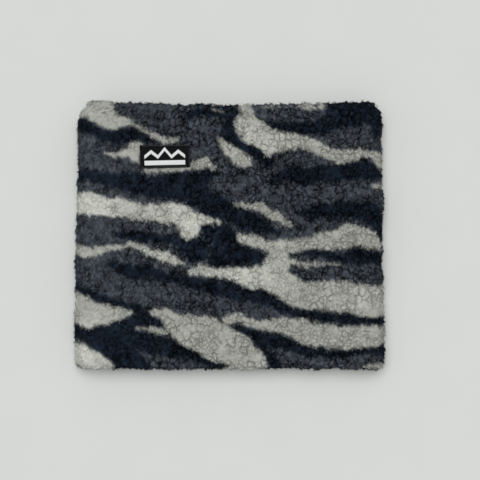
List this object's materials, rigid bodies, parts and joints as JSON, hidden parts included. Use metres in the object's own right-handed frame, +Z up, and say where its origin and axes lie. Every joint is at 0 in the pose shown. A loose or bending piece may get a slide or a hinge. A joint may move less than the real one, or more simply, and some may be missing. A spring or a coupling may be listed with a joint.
{
  "type": "neck gaiter",
  "caption": "Tube-shaped neck warmer of thick pile fleece with a brushed lining, lying flat, with a small sewn patch near its upper hem.",
  "frame": {"origin": "centre of the flat tube's footprint, on the surface that it lies on", "axes": "+X across the flat tube, away from the side seam; +Y along the tube towards the upper hem, the one by the patch; +Z up, out of the patch side"},
  "size_m": [0.2836, 0.244, 0.024],
  "materials": {
    "pile_fleece": "matte",
    "brushed_lining": "matte",
    "thread": "satin",
    "patch_black": "satin",
    "patch_white": "satin",
    "satin_tape": "satin"
  },
  "bodies": {
    "root": {"outer_shell": "pile_fleece", "lining": "brushed_lining", "outer_seam_thread": "thread", "lining_seam_thread": "thread", "top_hem_thread": "thread", "bottom_hem_thread": "thread", "front_patch": "patch_black", "patch_emblem": "patch_white", "patch_thread": "thread", "care_label": "satin_tape"}
  },
  "joints": []
}
